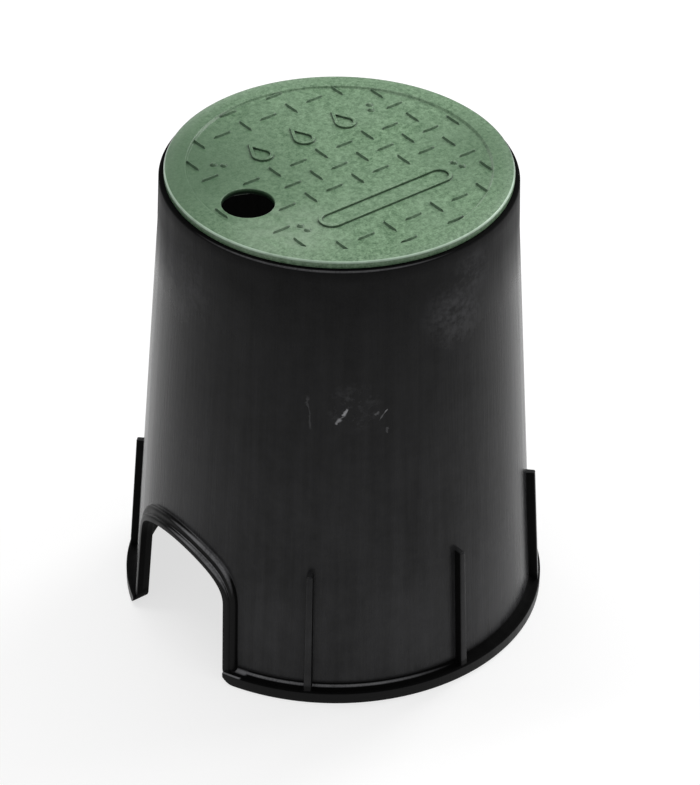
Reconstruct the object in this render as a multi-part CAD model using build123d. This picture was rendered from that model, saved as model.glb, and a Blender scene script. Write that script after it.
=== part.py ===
from build123d import *
from math import radians, tan
import os

# Round irrigation valve box with its lid, in millimetres.
# Origin: centre of the base ring on the floor. +Z up, the pipe passes along X.

# Body wall
rim_z = 225.0           # floor to the rim that carries the lid
shoulder_z = 200.0      # where the long cone meets the steeper collar
foot_r = 94.5           # outside of the wall at the floor
rim_r = 80.4            # outside of the wall at the rim
collar_flare = 0.8      # how much wider the collar is at its foot than at the rim
wall = 3.0              # the inside carries on straight, so the collar is a little thicker
rim_bevel = 1.0
seat_w = 7.0            # the rim's whole width, where the lid sits
seat_t = 3.0            # upright inner face of the seat, over its sloping underside

# Base flange
flange_proud = 4.5      # beyond the wall at the floor
flange_h = 6.4
flange_bevel = 0.8      # along its upper edge

# Outside ribs, one at each pitch step that no pipe arch takes
rib_pitch = 45.0        # degrees
rib_top_z = 69.0
rib_proud = 4.2         # how far a rib stands out of the wall
rib_w_top = 3.0
rib_w_foot = 3.7

# Pipe arches, one at each end of the X axis
arch_half = 34.0        # half the opening's width at the floor
arch_h = 64.5
arch_draft = 3.0        # degrees that each leg leans inwards
arch_rise = 13.0        # height of the crown's arc over its ends
arch_shoulder = 20.0    # radius between leg and crown
arch_toe = 5.0          # radius where a leg meets the floor

# Lip round each arch, in two steps
lip_w = 6.5             # whole width of the lip
lip_low_proud = 2.6     # outer step
lip_ring_w = 3.2        # width of the inner, higher step
lip_proud = 4.5         # inner step

# Lid
rim_ledge = 2.3         # width of the rim left free round the lid
lid_edge_h = 4.0        # from the rim up to the lid's highest level
lid_bevel = 1.2
border_w = 10.4         # plain border round the tread field
border_fall = 0.7       # how far the border drops towards its edge
border_fall_w = 4.6     # width of its falling part
tread_h = 1.0           # the tread field lies this far below the border
plate = 2.5             # plate thickness in the tread field
skirt_gap = 0.8         # radial clearance between the skirt and the seat
skirt_t = 2.4
skirt_depth = 12.0      # below the rim
under_rib_t = 2.2
under_rib_depth = 5.0   # below the plate
under_ribs = 8
hub_r = 12.0            # ring where the ribs under the lid meet
hole_r = 11.7
hole_x = -50.8
hole_bevel = 0.6

# Tread bars on a square lattice, turned by a quarter from one to the next
tread_pitch = 13.04
bar_l = 9.2
bar_w = 2.6
bar_flat = 3.6          # length of the stretch at full width, between the tapering ends

# Lattice columns that carry a bar, row by row, the row nearest +Y first
tread_rows = {
    5: (-1, 1),
    4: (-3, -2, -1, 0, 1, 2, 3),
    3: (-4, 4),
    2: (-4, 4),
    1: (-3, -2, -1, 0, 1, 2, 3, 4),
    0: (-5, -2, -1, 0, 1, 2, 3, 4, 5),
    -1: (-3, -2, -1, 0, 1, 2, 3, 4),
    -2: (-4, 4),
    -3: (-4, 4),
    -4: (-3, -2, -1, 0, 1, 2, 3),
    -5: (-1, 1),
}

# Sizes that follow
shoulder_r = rim_r + collar_flare
flange_r = foot_r + flange_proud
seat_r = rim_r - seat_w
skirt_r = seat_r - skirt_gap
lid_r = rim_r - rim_ledge
border_r = lid_r - border_w
top_z = rim_z + lid_edge_h
edge_z = top_z - border_fall
border_slope = border_fall / border_fall_w
field_z = top_z - tread_h
under_z = field_z - plate

overlap = 0.5           # how far a fused feature starts inside what carries it
near = 0.01             # two lengths closer than this are the same
full_turn = 360.0


def wall_r(z):
    """Outside radius of the wall at a height."""
    if z <= shoulder_z:
        return foot_r + (shoulder_r - foot_r) * z / shoulder_z
    return shoulder_r + (rim_r - shoulder_r) * (z - shoulder_z) / (rim_z - shoulder_z)


def inner_r(z):
    """Inside radius of the wall at a height, up to the seat's underside."""
    return foot_r - wall + (shoulder_r - foot_r) * z / shoulder_z


def turned(points):
    """Solid of revolution about Z from a closed outline of (radius, height) points."""
    return revolve(Plane.XZ * make_face(Polyline(*points, close=True)), Axis.Z)


def edges_at(shape, radius, z):
    """Round edges about Z with a given radius and height."""
    found = ShapeList()
    for edge in shape.edges().filter_by(GeomType.CIRCLE):
        if abs(edge.radius - radius) < near and abs(edge.arc_center.Z - z) < near:
            found.append(edge)
    return found


def shell():
    """Wall, collar, the lid's seat and the base flange."""
    slope_z = rim_z - seat_w
    body = turned([
        (inner_r(0), 0),
        (flange_r, 0),
        (flange_r, flange_h),
        (wall_r(flange_h), flange_h),
        (shoulder_r, shoulder_z),
        (rim_r, rim_z),
        (seat_r, rim_z),
        (seat_r, rim_z - seat_t),
        (inner_r(slope_z), slope_z),
    ])
    body = chamfer(edges_at(body, rim_r, rim_z), rim_bevel)
    return chamfer(edges_at(body, flange_r, flange_h), flange_bevel)


def jacket(proud, height):
    """Layer over the foot of the wall that stands out of it by a given distance."""
    return turned([
        (wall_r(0) - overlap, 0),
        (wall_r(0) + proud, 0),
        (wall_r(height) + proud, height),
        (wall_r(height) - overlap, height),
    ])


def ribs():
    """Flat-topped outside ribs, a little thicker at the foot."""
    outline = make_face(Polyline(
        (-rib_w_foot / 2, 0),
        (rib_w_foot / 2, 0),
        (rib_w_top / 2, rib_top_z),
        (-rib_w_top / 2, rib_top_z),
        close=True,
    ))
    blade = extrude(Plane.YZ * outline, amount=flange_r)
    blade = blade & jacket(rib_proud, rib_top_z)
    steps = round(full_turn / rib_pitch)
    arch_steps = (0, steps / 2)
    return [Rot(0, 0, k * rib_pitch) * blade for k in range(steps) if k not in arch_steps]


def arch_outline():
    """Upright outline of the pipe opening, carried on below the floor."""
    spring_z = arch_h - arch_rise
    lean = tan(radians(arch_draft))
    spring = arch_half - spring_z * lean
    low = arch_half + arch_h * lean
    sides = Polyline((-spring, spring_z), (-low, -arch_h), (low, -arch_h), (spring, spring_z))
    crown = ThreePointArc((spring, spring_z), (0, arch_h), (-spring, spring_z))
    face = make_face(sides + crown)
    return fillet(face.vertices().group_by(Axis.Y)[-1], arch_shoulder)


def arch_lips():
    """Two-step lip round both openings, following the wall's taper."""
    steps = ((lip_w, lip_low_proud), (lip_ring_w, lip_proud))
    lips = []
    for width, proud in steps:
        outline = offset(arch_outline(), amount=width)
        bar = extrude(Plane.YZ * outline, amount=flange_r, both=True)
        lips.append(bar & jacket(proud, arch_h + lip_w + overlap))
    return lips


def arch_cut():
    """Pipe openings through both sides, with rounded toes at the floor."""
    ground = Rectangle(4 * arch_half, arch_h, align=(Align.CENTER, Align.MAX))
    outline = arch_outline() + ground
    toes = [v for v in outline.vertices() if abs(v.Y) < near and abs(v.X) < arch_half + near]
    outline = fillet(toes, arch_toe)
    return extrude(Plane.YZ * outline, amount=flange_r + lip_proud, both=True)


def box_body():
    """Black moulded body in one piece."""
    body = shell()
    for piece in ribs() + arch_lips():
        body = body + piece
    return body - arch_cut()


def bar_outline():
    """Outline of a tread bar, pointed at both ends."""
    return make_face(Polyline(
        (-bar_l / 2, 0),
        (-bar_flat / 2, -bar_w / 2),
        (bar_flat / 2, -bar_w / 2),
        (bar_l / 2, 0),
        (bar_flat / 2, bar_w / 2),
        (-bar_flat / 2, bar_w / 2),
        close=True,
    ))


def tread():
    """Raised bars of the tread, flush with the border and cut off where they meet it."""
    bar = extrude(bar_outline(), tread_h + overlap)
    bars = []
    for row, columns in tread_rows.items():
        for column in columns:
            quarter = 0 if (row + column) % 2 == 0 else 90
            place = Pos(column * tread_pitch, row * tread_pitch, field_z - overlap)
            bars.append(place * Rot(0, 0, quarter) * bar)
    inside = Pos(0, 0, field_z) * Cylinder(border_r + overlap, 4 * tread_h)
    return [bar & inside for bar in bars]


def lid_plate():
    """Plate with its border, edge and skirt."""
    return turned([
        (0, under_z),
        (skirt_r - skirt_t, under_z),
        (skirt_r - skirt_t, rim_z - skirt_depth),
        (skirt_r, rim_z - skirt_depth),
        (skirt_r, rim_z),
        (lid_r, rim_z),
        (lid_r, edge_z - lid_bevel),
        (lid_r - lid_bevel, edge_z + lid_bevel * border_slope),
        (lid_r - border_fall_w, top_z),
        (border_r, top_z),
        (border_r, field_z),
        (0, field_z),
    ])


def under_side():
    """Ribs and hub ring under the plate."""
    height = under_rib_depth + overlap
    upright = (Align.CENTER, Align.CENTER, Align.MIN)
    rib_l = skirt_r - skirt_t + overlap - hub_r + under_rib_t / 2
    rib = Box(rib_l, under_rib_t, height, align=(Align.MIN, Align.CENTER, Align.MIN))
    rib = Pos(hub_r - under_rib_t / 2, 0, 0) * rib
    hub = Cylinder(hub_r, height, align=upright) - Cylinder(hub_r - under_rib_t, height, align=upright)
    pitch = full_turn / under_ribs
    pieces = [hub] + [Rot(0, 0, (k + 0.5) * pitch) * rib for k in range(under_ribs)]
    return [Pos(0, 0, under_z - under_rib_depth) * piece for piece in pieces]


def lid():
    """Green moulded lid in one piece."""
    cover = lid_plate()
    for piece in under_side() + tread():
        cover = cover + piece
    cover = cover - Pos(hole_x, 0, field_z) * Cylinder(hole_r, 4 * plate)
    return chamfer(edges_at(cover, hole_r, field_z), hole_bevel)


os.makedirs("parts", exist_ok=True)
export_step(box_body(), "parts/box_body.step")
export_step(lid(), "parts/lid.step")
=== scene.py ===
import bpy
from math import acos, atan2, cos, pi, radians, sin, sqrt, tan
from mathutils import Matrix, Quaternion, Vector


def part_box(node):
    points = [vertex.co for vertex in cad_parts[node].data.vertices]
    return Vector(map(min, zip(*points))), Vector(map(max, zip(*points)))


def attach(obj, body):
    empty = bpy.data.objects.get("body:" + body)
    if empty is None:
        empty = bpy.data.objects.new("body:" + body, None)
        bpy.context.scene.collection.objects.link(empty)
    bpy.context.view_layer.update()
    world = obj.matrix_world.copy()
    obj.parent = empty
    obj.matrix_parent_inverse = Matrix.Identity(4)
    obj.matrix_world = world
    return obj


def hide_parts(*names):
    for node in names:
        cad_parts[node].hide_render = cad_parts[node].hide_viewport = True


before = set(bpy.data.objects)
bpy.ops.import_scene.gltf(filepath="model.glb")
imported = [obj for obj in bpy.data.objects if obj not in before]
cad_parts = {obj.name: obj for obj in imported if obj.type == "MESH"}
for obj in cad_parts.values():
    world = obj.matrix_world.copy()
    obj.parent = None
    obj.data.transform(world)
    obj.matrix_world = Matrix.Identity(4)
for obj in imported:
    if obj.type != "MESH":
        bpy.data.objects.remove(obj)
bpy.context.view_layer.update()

# Round irrigation valve box with its lift-off lid, in metres. The pipe passes along X.
MM = 0.001

# Places read from the frame
_, body_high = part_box("box_body")
lid_low, lid_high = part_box("lid")
rim_z = body_high.z
top_z = lid_high.z
flange_r = body_high.y
lid_r = lid_high.x
skirt_z = lid_low.z

# Body wall
shoulder_z = 200 * MM
flange_proud = 4.5 * MM
flange_h = 6.4 * MM
rim_ledge = 2.3 * MM               # width of the rim left free round the lid
collar_flare = 0.8 * MM
wall = 3 * MM
seat_w = 7 * MM                    # the rim's whole width, where the lid sits
seat_t = 3 * MM                    # upright inner face of the seat, over its sloping underside
foot_r = flange_r - flange_proud
rim_r = lid_r + rim_ledge
shoulder_r = rim_r + collar_flare
seat_r = rim_r - seat_w
slope_z = rim_z - seat_w

# Roundings of the body's profile
flange_round = 0.9 * MM
flange_blend = 2.6 * MM
shoulder_round = 1 * MM
rim_round = 1.1 * MM
seat_round = 0.4 * MM
slope_round = 1.5 * MM

# Outside ribs
rib_steps = (1, 2, 3, 5, 6, 7)     # eighths of a turn that carry a rib
rib_top_z = 69 * MM
rib_proud = 4.2 * MM
rib_w_top = 3 * MM
rib_w_foot = 3.7 * MM
rib_root = 1 * MM                  # how far a rib starts inside the wall
rib_round = 0.7 * MM

# Pipe arches
arch_half = 34 * MM
arch_h = 64.5 * MM
arch_lean = radians(3)
arch_rise = 13 * MM
arch_shoulder = 20 * MM
arch_toe = 9 * MM
lip_w = 6.5 * MM
lip_low_proud = 2.6 * MM
lip_ring_w = 3.2 * MM
lip_proud = 4.5 * MM
lip_leg_less = 1.6 * MM            # how much narrower the lip gets down the legs
lip_leg_low = 1.1 * MM             # how much its inner step dies down there
lip_bead = 0.15 * MM               # how far the lip stands in from the wall's inside
lip_hold = 3 * MM                  # width of its part that goes through the wall
lip_skin = 1.2 * MM                # depth of its root in the wall
lip_flare = 0.9 * MM               # how far the root spreads beyond the lip
opening_grow = 1.5 * MM            # the wall is cut this much wider, and the lip fills it
foot_steps = 6                     # faces down each leg, round a shoulder and over the crown
shoulder_steps = 12
crown_steps = 20
toe_steps = 10
joint_z = 1.1 * MM                 # ribs and lips end here, inside the flange

# Lid
lid_round = 0.75 * MM
lid_fall = 0.7 * MM                # how far the border drops towards its edge
lid_fall_w = 4.6 * MM
border_w = 10.4 * MM
border_r = lid_r - border_w
border_step = 0.8 * MM             # width of the slope between the border and the tread field
tread_h = 1 * MM
plate = 2.5 * MM
plate_rings = (2 * MM, 15 * MM, 30 * MM, 45 * MM, 60 * MM)
skirt_gap = 0.8 * MM
skirt_r = seat_r - skirt_gap
skirt_t = 2.4 * MM
under_rib_t = 2.2 * MM
under_rib_depth = 5 * MM
under_ribs = 8
under_rib_round = 0.5 * MM
hub_r = 12 * MM
hole_r = 11.7 * MM
hole_x = -50.8 * MM
hole_round = 0.5 * MM
field_z = top_z - tread_h
under_z = field_z - plate

# Tread bars
tread_pitch = 13.04 * MM
bar_l = 9.6 * MM
bar_w = 1.6 * MM
bar_end = 0.62                     # shares of its half length and half width where it tapers
bar_end_w = 0.74
bar_ridge_l = 0.84                 # share of a bar's length and width that its ridge takes
bar_ridge_w = 0.14
bar_gap = 0.3 * MM                 # how far the bars run into the border's slope
tread_rows = {
    5: (-1, 1),
    4: (-3, -2, -1, 0, 1, 2, 3),
    3: (-4, 4),
    2: (-4, 4),
    1: (-3, -2, -1, 0, 1, 2, 3, 4),
    0: (-5, -2, -1, 0, 1, 2, 3, 4, 5),
    -1: (-3, -2, -1, 0, 1, 2, 3, 4),
    -2: (-4, 4),
    -3: (-4, 4),
    -4: (-3, -2, -1, 0, 1, 2, 3),
    -5: (-1, 1),
}

# Pips, in pairs, and the two plain marks
pip_r = 1.65 * MM
pip_apart = 4.6 * MM
pip_pairs = (
    (-42.4 * MM, 32.8 * MM, -45),
    (42.4 * MM, 31.4 * MM, 60),
    (-43.4 * MM, -30.6 * MM, -85),
    (43.2 * MM, -30.4 * MM, -75),
)
drop_r = 5 * MM
drop_h = 16 * MM
drop_places = (-22 * MM, 1.5 * MM, 25 * MM)
drop_y = 27.5 * MM
panel_l = 72 * MM
panel_w = 11.5 * MM
panel_y = -33 * MM
mark_line = 1.6 * MM               # width of the drops' and the panel's raised line
mark_soft = 0.3 * MM
round_steps = 14                   # faces round half a turn of a mark

ring_steps = 192                   # faces round the box
sunk = 0.5 * MM                    # how far a joined detail starts inside what carries it
near = 0.002 * MM                  # two places closer than this are the same
over = 120 * MM                    # past the flange, for tools that cut right through


def alone(obj):
    """Makes one object the only selected one, and the active one."""
    if bpy.context.mode != "OBJECT":
        bpy.ops.object.mode_set(mode="OBJECT")
    bpy.ops.object.select_all(action="DESELECT")
    obj.select_set(True)
    bpy.context.view_layer.objects.active = obj


def pick(obj, test):
    """In edit mode, selects the vertices whose place passes a test, and what lies between them."""
    bpy.ops.object.mode_set(mode="OBJECT")
    mesh = obj.data
    for vertex in mesh.vertices:
        vertex.select = bool(test(vertex.co))
    for edge in mesh.edges:
        edge.select = all(mesh.vertices[i].select for i in edge.vertices)
    for face in mesh.polygons:
        face.select = all(mesh.vertices[i].select for i in face.vertices)
    bpy.ops.object.mode_set(mode="EDIT")


def at(place):
    """Test for one place."""
    return lambda p: (p - place).length < near


def drawn(name, corners):
    """Line through corners, drawn one after another and left open, in edit mode."""
    if bpy.context.mode != "OBJECT":
        bpy.ops.object.mode_set(mode="OBJECT")
    bpy.ops.object.select_all(action="DESELECT")
    bpy.ops.mesh.primitive_plane_add(size=MM)
    obj = bpy.context.object
    obj.name = name
    bpy.ops.object.mode_set(mode="EDIT")
    bpy.ops.mesh.select_mode(type="VERT")
    bpy.ops.mesh.select_all(action="SELECT")
    bpy.ops.mesh.merge(type="CENTER")
    bpy.ops.transform.translate(value=corners[0])
    for start, end in zip(corners, corners[1:]):
        bpy.ops.mesh.extrude_vertices_move(TRANSFORM_OT_translate={"value": end - start})
    return obj


def filled():
    """Face inside the line that has just been drawn."""
    bpy.ops.mesh.select_all(action="SELECT")
    bpy.ops.mesh.edge_face_add()


def rounded(obj, corners, segments=4):
    """Rounds corners of a flat face; each is a place and its radius."""
    for place, radius in corners:
        if radius:
            pick(obj, at(place))
            bpy.ops.mesh.bevel(offset=radius, segments=segments, affect="VERTICES")


def outwards(obj):
    """Merges doubles, turns all faces outwards and leaves edit mode."""
    alone(obj)
    bpy.ops.object.mode_set(mode="EDIT")
    bpy.ops.mesh.select_all(action="SELECT")
    bpy.ops.mesh.remove_doubles(threshold=near)
    bpy.ops.mesh.normals_make_consistent(inside=False)
    bpy.ops.object.mode_set(mode="OBJECT")


def turned(name, profile, steps=ring_steps, discs=False):
    """Shape turned about Z from a profile of (radius, height, rounding) corners.

    With discs, the profile's two ends stay apart, and a flat disc closes the shape inside each.
    """
    corners = [Vector((r, 0, z)) for r, z, _ in profile]
    obj = drawn(name, corners)
    filled()
    rounded(obj, [(c, rounding) for c, (_, _, rounding) in zip(corners, profile)])
    bpy.ops.mesh.select_all(action="SELECT")
    bpy.ops.mesh.delete(type="ONLY_FACE")
    if discs:
        pick(obj, lambda p: at(corners[0])(p) or at(corners[-1])(p))
        bpy.ops.mesh.delete(type="EDGE_FACE")
    bpy.ops.mesh.select_all(action="SELECT")
    bpy.ops.mesh.spin(steps=steps, angle=2 * pi, center=(0, 0, 0), axis=(0, 0, 1))
    bpy.ops.mesh.select_all(action="SELECT")
    bpy.ops.mesh.remove_doubles(threshold=near)
    if discs:
        bpy.ops.mesh.select_all(action="SELECT")
        bpy.ops.mesh.fill_holes(sides=0)
    outwards(obj)
    return obj


def shaped(obj, tool, operation):
    """Joins a shape to another, or cuts with it. The tool is used up."""
    alone(obj)
    bpy.ops.object.modifier_add(type="BOOLEAN")
    modifier = obj.modifiers[-1]
    modifier.operation = operation
    modifier.solver = "EXACT"
    modifier.object = tool
    bpy.ops.object.modifier_apply(modifier=modifier.name)
    bpy.data.objects.remove(tool)


def gathered(objects):
    """Puts separate shapes in one object, each still closed by itself."""
    alone(objects[0])
    for obj in objects:
        obj.select_set(True)
    bpy.ops.object.join()
    return objects[0]


def copied(obj, place):
    """Copy with a mesh of its own, moved by a matrix."""
    twin = obj.copy()
    twin.data = obj.data.copy()
    bpy.context.scene.collection.objects.link(twin)
    twin.data.transform(place)
    return twin


def settled(obj):
    """Puts the object at the origin, with its place in its mesh."""
    alone(obj)
    bpy.ops.object.transform_apply(location=True, rotation=True, scale=True)


def smoothed(obj, degrees=35):
    """Smooth shading that keeps flats flat and sharp edges sharp."""
    outwards(obj)
    bpy.ops.object.shade_smooth_by_angle(angle=radians(degrees))
    bpy.ops.object.modifier_add(type="WEIGHTED_NORMAL")
    modifier = obj.modifiers[-1]
    modifier.keep_sharp = True
    bpy.ops.object.modifier_apply(modifier=modifier.name)


def wall_r(z):
    """Outside radius of the wall at a height."""
    if z <= shoulder_z:
        return foot_r + (shoulder_r - foot_r) * z / shoulder_z
    return shoulder_r + (rim_r - shoulder_r) * (z - shoulder_z) / (rim_z - shoulder_z)


def inner_r(z):
    """Inside radius of the wall at a height."""
    return foot_r - wall + (shoulder_r - foot_r) * z / shoulder_z


def shell():
    """Wall, collar, seat and base flange, turned from one profile."""
    return turned("box_shell", [
        (inner_r(0), 0, seat_round),
        (flange_r, 0, flange_round),
        (flange_r, flange_h, flange_round),
        (wall_r(flange_h), flange_h, flange_blend),
        (shoulder_r, shoulder_z, shoulder_round),
        (rim_r, rim_z, rim_round),
        (seat_r, rim_z, seat_round),
        (seat_r, rim_z - seat_t, seat_round),
        (inner_r(slope_z), slope_z, slope_round),
    ])


def arch_centres():
    """Centre of the shoulder's arc on the +Y side, and centre of the crown's arc."""
    spring_z = arch_h - arch_rise
    spring_half = arch_half - spring_z * tan(arch_lean)
    crown_r = (spring_half ** 2 + arch_rise ** 2) / (2 * arch_rise)
    crown = Vector((0, 0, arch_h - crown_r))
    beside_leg = Vector((0, spring_half, spring_z)) - arch_shoulder * leg_out()
    gap = beside_leg - crown
    along = gap.dot(leg_down())
    reach = crown_r - arch_shoulder
    run = -along - sqrt(along ** 2 - gap.length_squared + reach ** 2)
    return beside_leg + run * leg_down(), crown


def leg_out():
    """Direction out of the opening, square to the arch's leg on the +Y side."""
    return Vector((0, cos(arch_lean), sin(arch_lean)))


def leg_down():
    """Direction down the arch's leg on the +Y side."""
    return Vector((0, sin(arch_lean), -cos(arch_lean)))


def other_side(direction):
    """The same direction or place on the arch's -Y side."""
    return Vector((direction.x, -direction.y, direction.z))


def shoulder_turn():
    """Angle of the shoulder's arc, from the leg to the crown."""
    shoulder, crown = arch_centres()
    return atan2(shoulder.z - crown.z, shoulder.y - crown.y) - arch_lean


def carried_over():
    """Carries the selected line or section over the arch: shoulder, crown, shoulder."""
    shoulder, crown = arch_centres()
    turn = shoulder_turn()
    stretches = (
        (shoulder, turn, shoulder_steps),
        (crown, pi - 2 * (turn + arch_lean), crown_steps),
        (other_side(shoulder), turn, shoulder_steps),
    )
    for centre, angle, steps in stretches:
        bpy.ops.mesh.spin(steps=steps, angle=angle, center=centre, axis=(-1, 0, 0))


def through_cut(obj):
    """Makes a drawn outline in the plane x = 0 a bar that passes right through the box."""
    filled()
    bpy.ops.transform.translate(value=(-over, 0, 0))
    bpy.ops.mesh.extrude_region_move(TRANSFORM_OT_translate={"value": (2 * over, 0, 0)})
    outwards(obj)
    return obj


def arch_opening():
    """Bar of the pipe opening's outline, made a little larger, for both ends at once."""
    below = 10 * MM
    shoulder, _ = arch_centres()
    start = shoulder + (arch_shoulder + opening_grow) * leg_out()
    leg = (start.z + below) / cos(arch_lean)
    obj = drawn("arch_opening", [start + leg * leg_down(), start])
    carried_over()
    bpy.ops.mesh.extrude_vertices_move(
        TRANSFORM_OT_translate={"value": leg * other_side(leg_down())}
    )
    return through_cut(obj)


def arch_lip():
    """Stepped lip and inner face of one pipe opening.

    Its section is carried over the arch and down both legs, flat at first, then laid on the wall.
    """
    shoulder, _ = arch_centres()
    start = shoulder + arch_shoulder * leg_out()
    section = [                    # distance out from the opening, and out of the wall; rounding
        (0, -wall - lip_bead, 0.5 * MM),
        (0, lip_proud, 0.7 * MM),
        (lip_ring_w, lip_proud, 1.1 * MM),
        (lip_ring_w, lip_low_proud, 0.5 * MM),
        (lip_w, lip_low_proud, 1.3 * MM),
        (lip_w, 0, 0.5 * MM),
        (lip_w + lip_flare, -0.08 * MM, 0),
        (lip_w + lip_flare, -lip_skin, 0),
        (lip_hold, -lip_skin, 0),
        (lip_hold, -wall - lip_bead, 0),
    ]
    corners = [start + out * leg_out() + Vector((proud, 0, 0)) for out, proud, _ in section]
    obj = drawn("arch_lip", corners)
    filled()
    rounded(obj, [(c, rounding) for c, (_, _, rounding) in zip(corners, section)])
    leg = (start.z - joint_z) / cos(arch_lean) / foot_steps
    bpy.ops.mesh.select_all(action="SELECT")
    for _ in range(foot_steps):
        bpy.ops.mesh.extrude_region_move(TRANSFORM_OT_translate={"value": leg * leg_down()})
    pick(obj, lambda p: abs((p - start).dot(leg_down())) < near)
    carried_over()
    for _ in range(foot_steps):
        bpy.ops.mesh.extrude_region_move(
            TRANSFORM_OT_translate={"value": leg * other_side(leg_down())}
        )
    outwards(obj)
    slimmed(obj)
    laid_on_wall(obj)
    return obj


def slimmed(obj):
    """Makes the flat lip narrower and lower down its legs, easing into that round the shoulders."""
    shoulder, _ = arch_centres()
    start = shoulder + arch_shoulder * leg_out()
    whole_turn = shoulder_turn()
    outer_step = lip_ring_w + 1 * MM
    for vertex in obj.data.vertices:
        side = -1 if vertex.co.y < 0 else 1
        place = Vector((0, abs(vertex.co.y), vertex.co.z))
        if (place - start).dot(leg_down()) < 0:
            out = (place - shoulder).normalized()
            turn = atan2(out.z, out.y) - arch_lean
            width = (place - shoulder).length - arch_shoulder
        else:
            out = leg_out()
            turn = 0
            width = (place - start).dot(out)
        if turn > whole_turn:
            continue
        share = 0.5 + 0.5 * cos(pi * turn / whole_turn)
        if width > outer_step:
            vertex.co.y -= side * lip_leg_less * share * out.y
            vertex.co.z -= lip_leg_less * share * out.z
        if vertex.co.x > lip_low_proud:
            high = (vertex.co.x - lip_low_proud) / (lip_proud - lip_low_proud)
            vertex.co.x -= lip_leg_low * share * high


def laid_on_wall(obj):
    """Lays a flat shape on the tapered wall; its X is the distance out of the wall till then."""
    for vertex in obj.data.vertices:
        reach = wall_r(vertex.co.z) + vertex.co.x
        vertex.co.x = sqrt(reach ** 2 - vertex.co.y ** 2)


def toe_cut(side):
    """Bar that rounds the opening's foot on one side, seen along the pipe."""
    spare = 0.05 * MM
    deep = 5 * MM
    inside = 6 * MM
    beside = arch_half - arch_toe * tan(arch_lean) + arch_toe / cos(arch_lean)
    centre = Vector((0, beside, arch_toe))
    start = centre - (arch_toe + spare) * leg_out()
    obj = drawn("toe_cut", [
        Vector((0, centre.y, -deep)),
        Vector((0, start.y - inside, -deep)),
        Vector((0, start.y - inside, start.z)),
        start,
    ])
    angle = pi / 2 - arch_lean
    bpy.ops.mesh.spin(steps=toe_steps, angle=angle, center=centre, axis=(-1, 0, 0))
    bar = through_cut(obj)
    if side < 0:
        bar.data.transform(Matrix.Scale(-1, 4, Vector((0, 1, 0))))
        outwards(bar)
    return bar


def ribs():
    """Outside ribs, modelled once and copied round the wall."""
    foot = joint_z
    depth = rib_root + rib_proud
    bpy.ops.object.select_all(action="DESELECT")
    bpy.ops.mesh.primitive_cube_add(size=1)
    rib = bpy.context.object
    rib.name = "rib"
    rib.scale = (depth, rib_w_foot, rib_top_z - foot)
    rib.location = (wall_r(foot) - rib_root + depth / 2, 0, (foot + rib_top_z) / 2)
    settled(rib)
    pick(rib, lambda p: p.z > rib_top_z - near)
    bpy.ops.transform.resize(value=(1, rib_w_top / rib_w_foot, 1))
    bpy.ops.transform.translate(value=(wall_r(rib_top_z) - wall_r(foot), 0, 0))
    bpy.ops.mesh.select_all(action="SELECT")
    bpy.ops.mesh.bevel(offset=rib_round, segments=3, affect="EDGES")
    outwards(rib)
    turns = [Matrix.Rotation(step * pi / 4, 4, "Z") for step in rib_steps]
    copies = [copied(rib, turn) for turn in turns]
    bpy.data.objects.remove(rib)
    return copies


def box_shell():
    """Black moulded body in one piece."""
    body = shell()
    shaped(body, arch_opening(), "DIFFERENCE")
    near_lip = arch_lip()
    far_lip = copied(near_lip, Matrix.Rotation(pi, 4, "Z"))
    shaped(body, gathered([near_lip, far_lip] + ribs()), "UNION")
    shaped(body, gathered([toe_cut(1), toe_cut(-1)]), "DIFFERENCE")
    smoothed(body)
    return body


def lid_plate():
    """Plate with its border, rounded edge and skirt; rings keep its faces small."""
    inner = skirt_r - skirt_t
    return turned("lid_cover", [(r, field_z, 0) for r in plate_rings] + [
        (border_r, field_z, 0.25 * MM),
        (border_r + border_step, top_z, 0.3 * MM),
        (lid_r - lid_fall_w, top_z, 2 * MM),
        (lid_r, top_z - lid_fall, lid_round),
        (lid_r, rim_z, 0.4 * MM),
        (skirt_r, rim_z, 0.4 * MM),
        (skirt_r, skirt_z, 0.6 * MM),
        (inner, skirt_z, 0.6 * MM),
        (inner, under_z, 1 * MM),
    ] + [(r, under_z, 0) for r in reversed(plate_rings)], discs=True)


def under_side():
    """Ribs and hub ring under the plate."""
    depth = under_rib_depth + sunk
    middle_z = under_z + sunk - depth / 2
    length = skirt_r - skirt_t + sunk - hub_r + under_rib_t / 2
    bpy.ops.object.select_all(action="DESELECT")
    bpy.ops.mesh.primitive_cube_add(size=1)
    rib = bpy.context.object
    rib.name = "under_rib"
    rib.scale = (length, under_rib_t, depth)
    rib.location = (hub_r - under_rib_t / 2 + length / 2, 0, middle_z)
    settled(rib)
    pick(rib, lambda p: p.z < middle_z)
    bpy.ops.mesh.bevel(offset=under_rib_round, segments=2, affect="EDGES")
    outwards(rib)
    pitch = 2 * pi / under_ribs
    turns = [Matrix.Rotation((k + 0.5) * pitch, 4, "Z") for k in range(under_ribs)]
    copies = [copied(rib, turn) for turn in turns]
    bpy.data.objects.remove(rib)
    low_z = under_z - under_rib_depth
    hub = turned("hub", [
        (hub_r - under_rib_t, under_z + sunk, 0),
        (hub_r, under_z + sunk, 0),
        (hub_r, low_z, under_rib_round),
        (hub_r - under_rib_t, low_z, under_rib_round),
    ], steps=48)
    return copies, hub


def raised(obj, soft):
    """Makes a flat face in the tread field a raised pad with softened upper edges."""
    bpy.ops.mesh.select_all(action="SELECT")
    bpy.ops.transform.translate(value=(0, 0, field_z - sunk))
    bpy.ops.mesh.extrude_region_move(TRANSFORM_OT_translate={"value": (0, 0, tread_h + sunk)})
    pick(obj, lambda p: p.z > top_z - near)
    bpy.ops.mesh.bevel(offset=soft, segments=2, affect="EDGES")
    outwards(obj)


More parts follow.
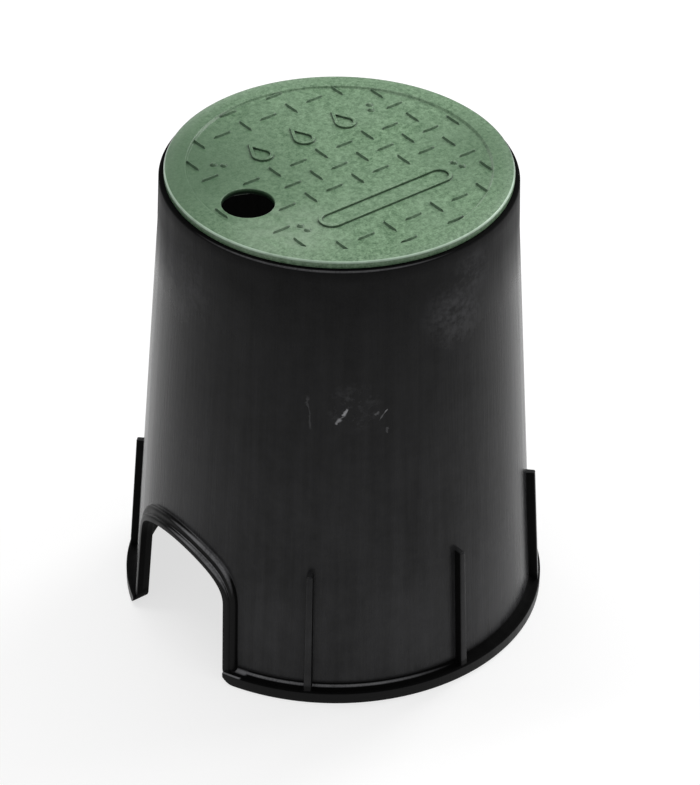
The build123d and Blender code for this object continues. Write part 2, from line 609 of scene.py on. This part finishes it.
def tread_bars():
    """Ridged bars of the tread, modelled once and copied over the lattice."""
    tip = bar_l / 2
    side = bar_w / 2
    near_tip = bar_end * tip
    near_side = bar_end_w * side
    bar = drawn("tread_bar", [
        Vector((-tip, 0, 0)),
        Vector((-near_tip, -near_side, 0)),
        Vector((0, -side, 0)),
        Vector((near_tip, -near_side, 0)),
        Vector((tip, 0, 0)),
        Vector((near_tip, near_side, 0)),
        Vector((0, side, 0)),
        Vector((-near_tip, near_side, 0)),
    ])
    filled()
    bpy.ops.mesh.select_all(action="SELECT")
    bpy.ops.transform.translate(value=(0, 0, field_z - sunk))
    bpy.ops.mesh.extrude_region_move(TRANSFORM_OT_translate={"value": (0, 0, sunk)})
    bpy.ops.mesh.extrude_region_move(TRANSFORM_OT_translate={"value": (0, 0, tread_h)})
    ridge = (bar_ridge_l, bar_ridge_w, 1)
    bpy.ops.transform.resize(value=ridge, center_override=(0, 0, top_z))
    outwards(bar)
    copies = []
    for row, columns in tread_rows.items():
        for column in columns:
            quarter = 0 if (row + column) % 2 == 0 else pi / 2
            place = Matrix.Translation((column * tread_pitch, row * tread_pitch, 0))
            copies.append(copied(bar, place @ Matrix.Rotation(quarter, 4, "Z")))
    bpy.data.objects.remove(bar)
    bars = gathered(copies)
    beyond = turned("bar_trim", [
        (border_r + bar_gap, field_z - MM, 0),
        (lid_r, field_z - MM, 0),
        (lid_r, top_z + MM, 0),
        (border_r + bar_gap, top_z + MM, 0),
    ])
    shaped(bars, beyond, "DIFFERENCE")
    return bars


def pips():
    """Small domed pips in four pairs."""
    pip = turned("pip", [
        (pip_r / 4, field_z - sunk, 0),
        (pip_r, field_z - sunk, 0),
        (pip_r, field_z + 0.1 * MM, 0),
        (pip_r / 2, top_z, 0.3 * MM),
        (pip_r / 4, top_z, 0),
    ], steps=20, discs=True)
    copies = []
    for x, y, turn in pip_pairs:
        for end in (-1, 1):
            reach = end * pip_apart / 2
            place = (x + reach * cos(radians(turn)), y + reach * sin(radians(turn)), 0)
            copies.append(copied(pip, Matrix.Translation(place)))
    bpy.data.objects.remove(pip)
    return copies


def outlined(line):
    """Leaves only a band of a given width along the edge of the flat face in hand."""
    bpy.ops.mesh.select_all(action="SELECT")
    bpy.ops.mesh.inset(thickness=line, depth=0)
    bpy.ops.mesh.delete(type="FACE")


def drops():
    """Three plain drops, drawn in outline."""
    lean = acos(drop_r / (drop_h - drop_r))
    touch = Vector((drop_r * sin(lean), drop_r * cos(lean), 0))
    drop = drawn("drop", [Vector((0, drop_h - drop_r, 0)), touch])
    around = 2 * (pi - lean)
    bpy.ops.mesh.spin(steps=2 * round_steps, angle=around, center=(0, 0, 0), axis=(0, 0, 1))
    filled()
    outlined(mark_line)
    raised(drop, mark_soft)
    copies = [copied(drop, Matrix.Translation((x, drop_y, 0))) for x in drop_places]
    bpy.data.objects.remove(drop)
    return copies


def panel():
    """Plain long frame with round ends."""
    half = panel_l / 2 - panel_w / 2
    frame_line = drawn("panel", [
        Vector((-half, -panel_w / 2, 0)),
        Vector((half, -panel_w / 2, 0)),
    ])
    bpy.ops.mesh.spin(steps=round_steps, angle=-pi, center=(half, 0, 0), axis=(0, 0, 1))
    bpy.ops.mesh.extrude_vertices_move(TRANSFORM_OT_translate={"value": (-2 * half, 0, 0)})
    bpy.ops.mesh.spin(steps=round_steps, angle=-pi, center=(-half, 0, 0), axis=(0, 0, 1))
    bpy.ops.mesh.select_all(action="SELECT")
    bpy.ops.mesh.remove_doubles(threshold=near)
    filled()
    outlined(mark_line)
    raised(frame_line, mark_soft)
    frame_line.data.transform(Matrix.Translation((0, panel_y, 0)))
    return frame_line


def hole_cut():
    """Round tool for the finger hole, wider at the top so that the hole's edge is rounded."""
    low = under_z - 10 * MM
    high = top_z + MM
    wide_r = hole_r + 1.2 * MM
    tool = turned("hole_cut", [
        (hole_r / 2, low, 0),
        (hole_r, low, 0),
        (hole_r, field_z, hole_round),
        (wide_r, field_z + 0.02 * MM, 0),
        (wide_r, high, 0),
        (hole_r / 2, high, 0),
    ], steps=64, discs=True)
    tool.data.transform(Matrix.Translation((hole_x, 0, 0)))
    return tool


def lid_cover():
    """Green moulded lid in one piece."""
    cover = lid_plate()
    shaped(cover, hole_cut(), "DIFFERENCE")
    under_copies, hub = under_side()
    shaped(cover, gathered(under_copies), "UNION")
    shaped(cover, hub, "UNION")
    shaped(cover, tread_bars(), "UNION")
    shaped(cover, gathered(pips() + drops() + [panel()]), "UNION")
    smoothed(cover)
    return cover


def node(tree, kind, links=(), **settings):
    """Adds a shader node; links gives what feeds its inputs, as sockets or plain values."""
    made = tree.nodes.new("ShaderNode" + kind)
    for name, value in settings.items():
        setattr(made, name, value)
    for socket, source in dict(links).items():
        if isinstance(source, bpy.types.NodeSocket):
            tree.links.new(source, made.inputs[socket])
        else:
            made.inputs[socket].default_value = source
    return made


def value_of(tree, operation, *sources):
    """Result of a calculation on sockets or numbers."""
    return node(tree, "Math", enumerate(sources), operation=operation).outputs[0]


def ranged(tree, source, low, high, to_low=0.0, to_high=1.0):
    """Value carried from one range to another, held at its ends."""
    links = {"Value": source, "From Min": low, "From Max": high}
    links.update({"To Min": to_low, "To Max": to_high})
    return node(tree, "MapRange", links).outputs["Result"]


def mixed(tree, share, first, second):
    """Colour between two, by a share."""
    made = tree.nodes.new("ShaderNodeMix")
    made.data_type = "RGBA"
    sources = {0: share, 6: first, 7: second}
    for index, source in sources.items():
        if isinstance(source, bpy.types.NodeSocket):
            tree.links.new(source, made.inputs[index])
        else:
            made.inputs[index].default_value = source
    return made.outputs[2]


def noise(tree, vector, scale, detail=4.0, rough=0.55):
    """Plain noise value."""
    links = {"Vector": vector, "Scale": scale, "Detail": detail, "Roughness": rough}
    return node(tree, "TexNoise", links).outputs[0]


def product(tree, first, second):
    """One value times another."""
    return value_of(tree, "MULTIPLY", first, second)


def total(tree, first, second):
    """Sum of two values."""
    return value_of(tree, "ADD", first, second)


def greater(tree, first, second):
    """The greater of two values."""
    return value_of(tree, "MAXIMUM", first, second)


def agreement(tree, first, second):
    """How far two directions agree, from -1 to 1."""
    return node(tree, "VectorMath", {0: first, 1: second}, operation="DOT_PRODUCT").outputs["Value"]


def distance(tree, first, second):
    """Distance between two places."""
    return node(tree, "VectorMath", {0: first, 1: second}, operation="DISTANCE").outputs["Value"]


def direction(tree, vector):
    """Vector brought to a length of 1."""
    return node(tree, "VectorMath", {0: vector}, operation="NORMALIZE").outputs[0]


def own_place(tree):
    """Place on the piece itself."""
    return node(tree, "TexCoord").outputs["Object"]


def parts(tree, vector):
    """X, Y and Z of a vector."""
    x, y, z = node(tree, "SeparateXYZ", {0: vector}).outputs
    return x, y, z


def true_normal(tree):
    """Direction that the surface faces."""
    return node(tree, "NewGeometry").outputs["Normal"]


def in_plan(tree, x, y):
    """Place as seen from above, and its distance from the box's axis."""
    across = node(tree, "CombineXYZ", {0: x, 1: y}).outputs[0]
    reach = node(tree, "VectorMath", {0: across}, operation="LENGTH").outputs["Value"]
    return across, reach


def effect(name, inputs, outputs):
    """Empty shader effect with named inputs and outputs; gives its tree, its start and its end."""
    tree = bpy.data.node_groups.new(name, "ShaderNodeTree")
    for socket, default in inputs.items():
        made = tree.interface.new_socket(name=socket, in_out="INPUT", socket_type="NodeSocketFloat")
        made.default_value = default
    for socket in outputs:
        tree.interface.new_socket(name=socket, in_out="OUTPUT", socket_type="NodeSocketFloat")
    start = tree.nodes.new("NodeGroupInput")
    end = tree.nodes.new("NodeGroupOutput")
    return tree, start, end


def given(tree, end, results):
    """Leads each result of an effect to its output."""
    for name, result in results.items():
        tree.links.new(result, end.inputs[name])


def placed(tree, group, **values):
    """Puts an effect into a material with its own values."""
    made = tree.nodes.new("ShaderNodeGroup")
    made.node_tree = group
    for socket, value in values.items():
        made.inputs[socket].default_value = value
    return made


def grain_effect():
    """Fine moulded grain over a softer, larger mottle."""
    tree, start, end = effect("moulded_grain", {"Grain": 900.0, "Mottle": 90.0}, ("Height", "Tone"))
    place = own_place(tree)
    fine = noise(tree, place, start.outputs["Grain"], 3.0, 0.6)
    broad = noise(tree, place, start.outputs["Mottle"], 5.0, 0.6)
    tone = total(tree, product(tree, fine, 0.45), product(tree, broad, 0.55))
    given(tree, end, {"Height": fine, "Tone": ranged(tree, tone, 0.38, 0.62)})
    return tree


# Where the masks of the wall begin and end
lips_half = 44 * MM                # half the width of the strip that holds a lip
flange_clear = 10 * MM             # the flange and its fillet end below this
highlight_line_z = flange_h + 0.9 * MM      # line along the flange's fillet where a highlight is painted
collar_low = 180 * MM
collar_high = 210 * MM

# Direction of the painted highlights: edges of the lips, the flange and the rim that face it are
# painted light
highlight_from = (-0.5, -0.5, 0.707)


def wall_effect():
    """Masks for the body: its height, what stands proud of the wall, its inside, faces that look
    sideways or down and the flange's upper corner, where shade is painted, edges that get a painted
    highlight, and the collar.
    """
    outputs = ("Height", "Proud", "Inside", "Side", "Corner", "Painted highlight", "Collar")
    tree, _, end = effect("wall_places", {}, outputs)
    x, y, z = parts(tree, own_place(tree))
    across, reach = in_plan(tree, x, y)
    normal = true_normal(tree)
    rise = parts(tree, normal)[2]
    surface = ranged(tree, z, 0.0, shoulder_z, foot_r, shoulder_r)
    proud = value_of(tree, "SUBTRACT", reach, surface)
    beside = value_of(tree, "ABSOLUTE", y)
    stands = ranged(tree, proud, 0.1 * MM, 0.6 * MM)
    lip = product(tree, ranged(tree, beside, lips_half, lips_half - 1 * MM), stands)
    flange = ranged(tree, z, flange_clear, flange_clear - 1.6 * MM)
    outward = value_of(tree, "ABSOLUTE", agreement(tree, normal, direction(tree, across)))
    level = value_of(tree, "ABSOLUTE", rise)
    aside = value_of(tree, "SUBTRACT", 1.0, greater(tree, outward, level))
    downward = ranged(tree, rise, -0.1, -0.3)
    # Painted highlight along the flange's fillet, on the lips and on the rim's edge, where they face
    # one direction
    lit = agreement(tree, normal, highlight_from)
    from_line = value_of(tree, "ABSOLUTE", value_of(tree, "SUBTRACT", z, highlight_line_z))
    line = ranged(tree, from_line, 0.55 * MM, 0.25 * MM)
    line_highlight = product(tree, line, ranged(tree, lit, 0.88, 0.97))
    lip_highlight = product(tree, lip, ranged(tree, lit, 0.8, 0.94))
    rim = ranged(tree, z, rim_z - 1.2 * MM, rim_z - 0.8 * MM)
    rim_highlight = product(tree, rim, ranged(tree, lit, 0.86, 0.96, 0.0, 0.4))
    given(tree, end, {
        "Height": ranged(tree, z, 0.0, rim_z),
        "Proud": greater(tree, lip, flange),
        "Inside": ranged(tree, proud, -0.6 * MM, -1.2 * MM),
        "Side": greater(tree, ranged(tree, aside, 0.25, 0.55), downward),
        "Corner": product(tree, flange, ranged(tree, rise, 0.12, 0.35)),
        "Painted highlight": greater(tree, rim_highlight, greater(tree, line_highlight, lip_highlight)),
        "Collar": ranged(tree, z, collar_low, collar_high),
    })
    return tree


# Side of the lid whose outer edge gets a painted highlight; round the rest, the edge gets painted
# shade
highlight_side = (-0.63, -0.78, 0)


def lid_effect():
    """Masks for the lid, where light and shade are painted: its outer top edge, the side where that
    gets a painted highlight, steep faces on the tread field, and the finger hole's wall.
    """
    tree, _, end = effect("lid_places", {}, ("Edge", "Highlight side", "Steep", "Hole"))
    x, y, z = parts(tree, own_place(tree))
    across, reach = in_plan(tree, x, y)
    _, sideways, rise = parts(tree, true_normal(tree))
    edge_r = lid_r - lid_round
    edge_z = top_z - lid_fall - lid_round
    outer = ranged(tree, reach, edge_r - 0.05 * MM, edge_r + 0.2 * MM)
    upper = ranged(tree, z, edge_z - 0.1 * MM, edge_z + 0.15 * MM)
    toward = agreement(tree, direction(tree, across), highlight_side)
    # Painted shade on steep faces of the tread field, fainter where they face along Y
    within = ranged(tree, reach, border_r + 0.1 * MM, border_r - 0.2 * MM)
    steep = product(tree, within, ranged(tree, rise, 0.98, 0.8))
    fainter = ranged(tree, product(tree, sideways, sideways), 0.1, 0.4, 1.0, 0.55)
    # Painted shade on the finger hole's wall
    centre = node(tree, "CombineXYZ", {0: hole_x}).outputs[0]
    beside = ranged(tree, distance(tree, across, centre), hole_r + 0.6 * MM, hole_r + 0.3 * MM)
    under = ranged(tree, z, field_z - 0.7 * MM, field_z - 1.5 * MM)
    given(tree, end, {
        "Edge": product(tree, outer, upper),
        "Highlight side": ranged(tree, toward, -0.3, 0.15),
        "Steep": product(tree, steep, fainter),
        "Hole": product(tree, beside, under),
    })
    return tree


def streak_effect():
    """Upright streaks round the wall; they vary its roughness and relief, and the pale streaks painted
    from them stand for streaky reflections.
    """
    tree, start, end = effect("upright_streaks", {"Across": 14.0, "Along": 9.0}, ("Streak", "Fine"))
    x, y, z = parts(tree, own_place(tree))
    around = product(tree, value_of(tree, "ARCTAN2", y, x), start.outputs["Across"])
    up = product(tree, z, start.outputs["Along"])
    spread = node(tree, "CombineXYZ", {0: around, 1: up}).outputs[0]
    broad = noise(tree, spread, 1.0, 4.0, 0.6)
    fine = noise(tree, spread, 6.0, 3.0, 0.6)
    given(tree, end, {
        "Streak": ranged(tree, broad, 0.38, 0.66),
        "Fine": ranged(tree, fine, 0.4, 0.7),
    })
    return tree


def edge_effect():
    """Mask of rounded-over edges, broken up by noise."""
    tree, start, end = effect("edge_wear", {"Reach": 1 * MM, "Breakup": 250.0}, ("Edge",))
    soft = node(tree, "Bevel", {"Radius": start.outputs["Reach"]}, samples=6).outputs[0]
    edge = ranged(tree, agreement(tree, soft, true_normal(tree)), 0.995, 0.86)
    spots = noise(tree, own_place(tree), start.outputs["Breakup"], 3.0)
    given(tree, end, {"Edge": product(tree, edge, ranged(tree, spots, 0.35, 0.6))})
    return tree


def crease_effect():
    """Mask of corners that light doesn't reach, where shade is painted."""
    tree, start, end = effect("crease_shade", {"Reach": 2 * MM}, ("Crease",))
    reach = {"Distance": start.outputs["Reach"]}
    light = node(tree, "AmbientOcclusion", reach, samples=8, only_local=True)
    given(tree, end, {"Crease": ranged(tree, light.outputs["AO"], 0.85, 0.4)})
    return tree


def own_centre(tree, start):
    """Place that an effect's X, Y and Z give."""
    sources = {index: start.outputs[name] for index, name in enumerate("XYZ")}
    return node(tree, "CombineXYZ", sources).outputs[0]


def speckled_patch_effect():
    """Soft round speckled patch about a place: spots on the wall, and painted shade and a weathered
    bloom on the lid.
    """
    inputs = {"X": 0.0, "Y": 0.0, "Z": 0.0, "Size": 0.02, "Grain": 300.0, "Cover": 0.5}
    tree, start, end = effect("speckled_patch", inputs, ("Patch mask",))
    place = own_place(tree)
    grain = start.outputs["Grain"]
    spots = noise(tree, place, grain, 5.0, 0.65)
    clouds = noise(tree, place, product(tree, grain, 0.25), 2.0, 0.5)
    both = product(tree, total(tree, spots, clouds), 0.5)
    bare = value_of(tree, "SUBTRACT", 1.0, start.outputs["Cover"])
    speckle = ranged(tree, value_of(tree, "SUBTRACT", both, bare), -0.06, 0.12)
    apart = distance(tree, place, own_centre(tree, start))
    share = value_of(tree, "DIVIDE", apart, start.outputs["Size"])
    given(tree, end, {"Patch mask": product(tree, ranged(tree, share, 1.0, 0.25), speckle)})
    return tree


def scratch_effect():
    """Short scratch on the wall, leaning from upright, uneven along its length."""
    inputs = {"X": 0.0, "Y": 0.0, "Z": 0.0, "Lean": 0.0, "Length": 0.01, "Width": 0.001}
    tree, start, end = effect("scratch", inputs, ("Scratch",))
    place = own_place(tree)
    ends = {0: place, 1: own_centre(tree, start)}
    apart = node(tree, "VectorMath", ends, operation="SUBTRACT").outputs[0]
    turn = value_of(tree, "ARCTAN2", start.outputs["Y"], start.outputs["X"])
    faced = {"Vector": apart, "Angle": product(tree, turn, -1.0)}
    flat = node(tree, "VectorRotate", faced, rotation_type="Z_AXIS").outputs[0]
    leant = {"Vector": flat, "Angle": start.outputs["Lean"]}
    laid = node(tree, "VectorRotate", leant, rotation_type="X_AXIS").outputs[0]
    out, beside, up = parts(tree, laid)
    sway = value_of(tree, "SUBTRACT", noise(tree, place, 90.0, 1.0), 0.5)
    across = value_of(tree, "ABSOLUTE", total(tree, beside, product(tree, sway, 6 * MM)))
    broken = ranged(tree, noise(tree, place, 420.0, 3.0, 0.6), 0.38, 0.6, 0.15, 1.0)
    width = product(tree, start.outputs["Width"], broken)
    side = ranged(tree, value_of(tree, "DIVIDE", across, width), 0.5, 0.2)
    run = value_of(tree, "DIVIDE", value_of(tree, "ABSOLUTE", up), start.outputs["Length"])
    depth = ranged(tree, value_of(tree, "ABSOLUTE", out), 8 * MM, 6 * MM)
    line = product(tree, side, ranged(tree, run, 0.5, 0.38))
    given(tree, end, {"Scratch": product(tree, line, depth)})
    return tree


def plain_material(name):
    """Material with a Principled shader, and its tree and shader."""
    made = bpy.data.materials.new(name)
    made.use_nodes = True
    tree = made.node_tree
    return made, tree, tree.nodes["Principled BSDF"]


def layered(tree, colour, layers):
    """Colour with others laid over it, each by its mask and the mask's strength."""
    for mask, strength, layer in layers:
        colour = mixed(tree, product(tree, mask, strength), colour, layer)
    return colour


def bumped(tree, shader, height, soft_r, strength, depth):
    """Gives a shader fine relief, and edges softened by a radius."""
    soft = node(tree, "Bevel", {"Radius": soft_r}, samples=4).outputs[0]
    links = {"Height": height, "Normal": soft, "Strength": strength, "Distance": depth}
    tree.links.new(node(tree, "Bump", links).outputs[0], shader.inputs["Normal"])


def grey(value):
    """Dark grey of a given value, a touch cool."""
    return (value, value, value * 1.04, 1)


# Spots on the wall, in metres: place, size, cover and strength; the first four are worn, the last four
# broad, faint, lighter patches low on the wall
scuff_patches = (
    (-0.0808, 0.0098, 0.197, 0.024, 0.5, 0.7),
    (0.0114, -0.08, 0.209, 0.015, 0.53, 0.7),
    (0.0015, -0.0814, 0.194, 0.02, 0.53, 0.7),
    (-0.046, -0.0705, 0.156, 0.014, 0.46, 0.7),
    (-0.0771, -0.0513, 0.034, 0.03, 0.85, 0.16),
    (-0.0863, -0.0135, 0.095, 0.045, 0.85, 0.14),
    (-0.0207, -0.0904, 0.034, 0.034, 0.85, 0.2),
    (0.0212, -0.0901, 0.034, 0.04, 0.85, 0.22),
)

# Scratches on the wall: place, lean from upright in radians, length, width and strength
scratch_marks = (
    (-0.0491, -0.0685, 0.1536, 0.75, 0.0044, 0.0021, 1.0),
    (-0.0511, -0.0673, 0.1487, 0.5, 0.0038, 0.002, 0.75),
    (-0.05, -0.068, 0.1513, 0.6, 0.0085, 0.0011, 0.4),
    (-0.0331, -0.0776, 0.1523, 0.65, 0.0032, 0.0015, 0.8),
    (-0.037, -0.0757, 0.1523, 0.6, 0.0026, 0.0026, 0.25),
    (-0.0347, -0.077, 0.15, 0.6, 0.0046, 0.0011, 0.3),
    (-0.0333, -0.0781, 0.1432, 0.1, 0.0034, 0.002, 0.16),
    (-0.0614, -0.0577, 0.153, -0.16, 0.018, 0.0016, 0.1),
)

# Black plastic, in its plain and in its pale streaks: colour at the floor and at the rim, lighter at
# the floor and darker at the rim as painted light, the streaks a painted reflection
black_low = grey(0.026)
black_high = grey(0.002)
streak_sheen_low = grey(0.068)
streak_sheen_high = grey(0.014)
black_grain = grey(0.022)
black_scuffed = grey(0.11)
black_proud = grey(0.004)
black_shade = grey(0.001)
black_highlight = grey(0.24)
black_edge = grey(0.03)
black_scratched = grey(0.5)


def black_plastic(effects):
    """Near-black moulded plastic with streaks, scuff marks, scratches and worn edges; painted light
    makes it lighter towards the floor, gives its streaks a painted reflection, paints a highlight on
    edges that face one side, and paints shade inside and on faces that look sideways or down.
    """
    made, tree, shader = plain_material("black_moulded_plastic")
    grain = placed(tree, effects["grain"], Grain=1100.0, Mottle=70.0)
    clouds = placed(tree, effects["grain"], Grain=130.0, Mottle=34.0)
    streaks = placed(tree, effects["streaks"], Across=16.0, Along=7.0)
    edges = placed(tree, effects["edges"], Reach=0.9 * MM, Breakup=180.0)
    places = placed(tree, effects["wall"])
    proud = places.outputs["Proud"]
    # Painted shade inside the box, on faces that look sideways or down, and in the flange's upper
    # corner
    inside = greater(tree, places.outputs["Inside"], places.outputs["Side"])
    inside = greater(tree, inside, places.outputs["Corner"])
    speckled_patches = 0.0
    for x, y, z, size, cover, strength in scuff_patches:
        patch = placed(tree, effects["speckled_patches"], X=x, Y=y, Z=z, Size=size, Grain=420.0, Cover=cover)
        speckled_patches = greater(tree, speckled_patches, product(tree, patch.outputs["Patch mask"], strength))
    marks = 0.0
    for x, y, z, lean, length, width, strength in scratch_marks:
        mark = placed(tree, effects["scratches"], X=x, Y=y, Z=z, Lean=lean, Length=length, Width=width)
        marks = greater(tree, marks, product(tree, mark.outputs["Scratch"], strength))
    high = places.outputs["Height"]
    # Pale streaks and clouds: the clouds a random mottle of the plastic, the streaks a painted
    # reflection, both lighter towards the floor
    streak_sheen = mixed(tree, high, streak_sheen_low, streak_sheen_high)
    uneven = total(tree, streaks.outputs["Streak"], clouds.outputs["Tone"])
    # Painted highlight on edges that face one side, broken up by the grain
    highlight_breakup = ranged(tree, grain.outputs["Tone"], 0.0, 0.7, 0.55, 1.0)
    painted_highlight = product(tree, places.outputs["Painted highlight"], highlight_breakup)
    # Base colour lighter towards the floor and darker towards the rim: a painted gradient of light
    colour = layered(tree, mixed(tree, high, black_low, black_high), (
        (uneven, 0.5, streak_sheen),
        (grain.outputs["Tone"], 0.35, black_grain),
        (speckled_patches, 1.0, black_scuffed),
        (proud, 1.0, black_proud),
        (inside, 1.0, black_shade),
        (painted_highlight, 1.0, black_highlight),
        (edges.outputs["Edge"], 0.35, black_edge),
        (marks, 1.0, black_scratched),
    ))
    tree.links.new(colour, shader.inputs["Base Color"])
    rough = ranged(tree, streaks.outputs["Streak"], 0.0, 1.0, 0.2, 0.28)
    for mask, more in ((speckled_patches, 0.4), (places.outputs["Collar"], 0.32), (inside, 0.5), (proud, 0.15)):
        rough = total(tree, rough, product(tree, mask, more))
    tree.links.new(rough, shader.inputs["Roughness"])
    shader.inputs["Specular IOR Level"].default_value = 0.11
    fine = product(tree, grain.outputs["Height"], 0.3)
    height = total(tree, fine, product(tree, streaks.outputs["Fine"], 0.7))
    bumped(tree, shader, height, 0.5 * MM, 0.25, 0.15 * MM)
    return made


# Green plastic: its grain from dark to light, then what lies over it, among which painted shade, and a
# painted highlight and shade along the outer edge
green_dark = (0.054, 0.13, 0.056, 1)
green_light = (0.243, 0.387, 0.234, 1)
green_cloud = (0.2, 0.3, 0.2, 1)
green_painted_shade = (0.06, 0.125, 0.063, 1)
green_bloom = (0.33, 0.43, 0.32, 1)
green_rubbed = (0.36, 0.5, 0.38, 1)
green_steep_shade = (0.026, 0.068, 0.03, 1)
green_crease_shade = (0.012, 0.03, 0.015, 1)
green_hole_shade = (0.01, 0.022, 0.012, 1)
edge_shade = (0.035, 0.06, 0.04, 1)
edge_highlight = (0.55, 0.72, 0.57, 1)

# Patches on the lid, in metres: place, size, speckle, cover, strength and colour; the first two are
# painted shade, the third a weathered bloom
lid_patches = (
    (-0.064, 0.042, 0.08, 60.0, 0.85, 0.8, green_painted_shade),
    (0.064, -0.032, 0.045, 60.0, 0.7, 0.4, green_painted_shade),
    (-0.052, -0.03, 0.03, 150.0, 0.6, 0.4, green_bloom),
)


def green_plastic(effects):
    """Green moulded plastic with a fine grain, a weathered bloom and worn light edges, with painted
    shade on patches, steep faces, creases and the hole, and a painted highlight and shade along its
    outer edge.
    """
    made, tree, shader = plain_material("green_moulded_plastic")
    grain = placed(tree, effects["grain"], Grain=1350.0, Mottle=520.0)
    clouds = placed(tree, effects["grain"], Grain=60.0, Mottle=22.0)
    edges = placed(tree, effects["edges"], Reach=0.7 * MM, Breakup=260.0)
    creases = placed(tree, effects["creases"], Reach=1.6 * MM)
    places = placed(tree, effects["lid"])
    tone = grain.outputs["Tone"]
    cloud = clouds.outputs["Tone"]
    layers = [(cloud, 0.3, green_cloud)]
    # The first two patches are painted shade, the third a weathered bloom
    for x, y, size, speckle, cover, strength, layer in lid_patches:
        spot = {"X": x, "Y": y, "Z": top_z, "Size": size, "Grain": speckle, "Cover": cover}
        patch = placed(tree, effects["speckled_patches"], **spot)
        layers.append((patch.outputs["Patch mask"], strength, layer))
    # Outer edge painted as a highlight on one side and as shade round the rest
    painted_edge_mask = product(tree, places.outputs["Edge"], ranged(tree, cloud, 0.0, 0.6, 0.5, 0.9))
    painted_edge_colour = mixed(tree, places.outputs["Highlight side"], edge_shade, edge_highlight)
    # Worn edges, then painted shade on steep faces, the painted edge, and painted shade in creases and
    # in the hole
    layers += [
        (edges.outputs["Edge"], 0.3, green_rubbed),
        (places.outputs["Steep"], 0.7, green_steep_shade),
        (painted_edge_mask, 1.0, painted_edge_colour),
        (creases.outputs["Crease"], 0.9, green_crease_shade),
        (places.outputs["Hole"], 1.0, green_hole_shade),
    ]
    colour = layered(tree, mixed(tree, tone, green_dark, green_light), layers)
    tree.links.new(colour, shader.inputs["Base Color"])
    tree.links.new(ranged(tree, tone, 0.0, 1.0, 0.3, 0.44), shader.inputs["Roughness"])
    shader.inputs["Specular IOR Level"].default_value = 0.45
    bumped(tree, shader, grain.outputs["Height"], 0.25 * MM, 0.3, 0.1 * MM)
    return made


floor_colour = (0.37, 0.37, 0.37, 1)
floor_glow = 0.7                   # what the floor adds to itself in the camera's eye and in gloss
world_strength = 0.4


def floor():
    """Plain pale floor that keeps the box's shadow."""
    bpy.ops.object.select_all(action="DESELECT")
    bpy.ops.mesh.primitive_plane_add(size=8)
    plane = bpy.context.object
    plane.name = "floor"
    made, tree, shader = plain_material("pale_floor")
    shader.inputs["Base Color"].default_value = floor_colour
    shader.inputs["Roughness"].default_value = 0.9
    shader.inputs["Specular IOR Level"].default_value = 0.0
    ray = node(tree, "LightPath")
    seen = greater(tree, ray.outputs["Is Camera Ray"], ray.outputs["Is Glossy Ray"])
    seen = greater(tree, seen, ray.outputs["Is Transmission Ray"])
    shader.inputs["Emission Color"].default_value = (1, 1, 1, 1)
    tree.links.new(product(tree, seen, floor_glow), shader.inputs["Emission Strength"])
    plane.data.materials.append(made)


# The camera stands where the photograph was taken from, measured against the box
camera_turn = Matrix.Rotation(radians(-38.79), 3, "Z")
camera_apart = 1704.08 * MM
camera_rise = radians(35.406)
camera_roll = radians(1.038)
camera_lens = 168.66
aim = Vector((6.487 * MM, 0, 104.863 * MM))


def camera():
    """Camera at the photograph's place."""
    data = bpy.data.cameras.new("camera")
    data.lens = camera_lens
    data.sensor_width = 36
    data.clip_start = 0.05
    obj = bpy.data.objects.new("camera", data)
    bpy.context.scene.collection.objects.link(obj)
    back = camera_turn @ Vector((0, -cos(camera_rise), sin(camera_rise)))
    obj.location = camera_turn @ aim + camera_apart * back
    obj.rotation_mode = "QUATERNION"
    obj.rotation_quaternion = back.to_track_quat("Z", "Y") @ Quaternion((0, 0, 1), camera_roll)
    bpy.context.scene.camera = obj


def lamp(name, place, wide, deep, watts):
    """Soft lamp that points at the middle of the box; its place turns with the camera."""
    data = bpy.data.lights.new(name, "AREA")
    data.shape = "RECTANGLE"
    data.size = wide
    data.size_y = deep
    data.energy = watts
    obj = bpy.data.objects.new(name, data)
    bpy.context.scene.collection.objects.link(obj)
    obj.location = camera_turn @ Vector(place)
    middle = Vector((0, 0, rim_z / 2))
    obj.rotation_mode = "QUATERNION"
    obj.rotation_quaternion = (obj.location - middle).to_track_quat("Z", "Y")


def light():
    """Plain soft studio light: a long lamp overhead, three round the box, and an even surround."""
    lamp("lamp_over", (-0.1, 0.25, 1.4), 1.5, 0.12, 7)
    lamp("lamp_key", (0.75, 0.95, 1.05), 0.45, 0.45, 6.5)
    lamp("lamp_left", (-0.6, 1.3, 0.4), 0.8, 0.5, 3)
    lamp("lamp_right", (1.2, 0.5, 0.7), 0.3, 0.3, 4)
    world = bpy.data.worlds.new("studio")
    bpy.context.scene.world = world
    world.use_nodes = True
    background = world.node_tree.nodes["Background"]
    background.inputs["Color"].default_value = (1, 1, 1, 1)
    background.inputs["Strength"].default_value = world_strength


def finished(obj, made, body, node_name):
    """Gives a piece its material, and its place in the frame."""
    obj.data.materials.clear()
    obj.data.materials.append(made)
    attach(obj, body)
    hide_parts(node_name)


camera()
light()
floor()

effects = {
    "grain": grain_effect(),
    "wall": wall_effect(),
    "lid": lid_effect(),
    "streaks": streak_effect(),
    "edges": edge_effect(),
    "creases": crease_effect(),
    "speckled_patches": speckled_patch_effect(),
    "scratches": scratch_effect(),
}
finished(box_shell(), black_plastic(effects), "box", "box_body")
finished(lid_cover(), green_plastic(effects), "lid", "lid")

bpy.context.scene.view_settings.view_transform = "Standard"
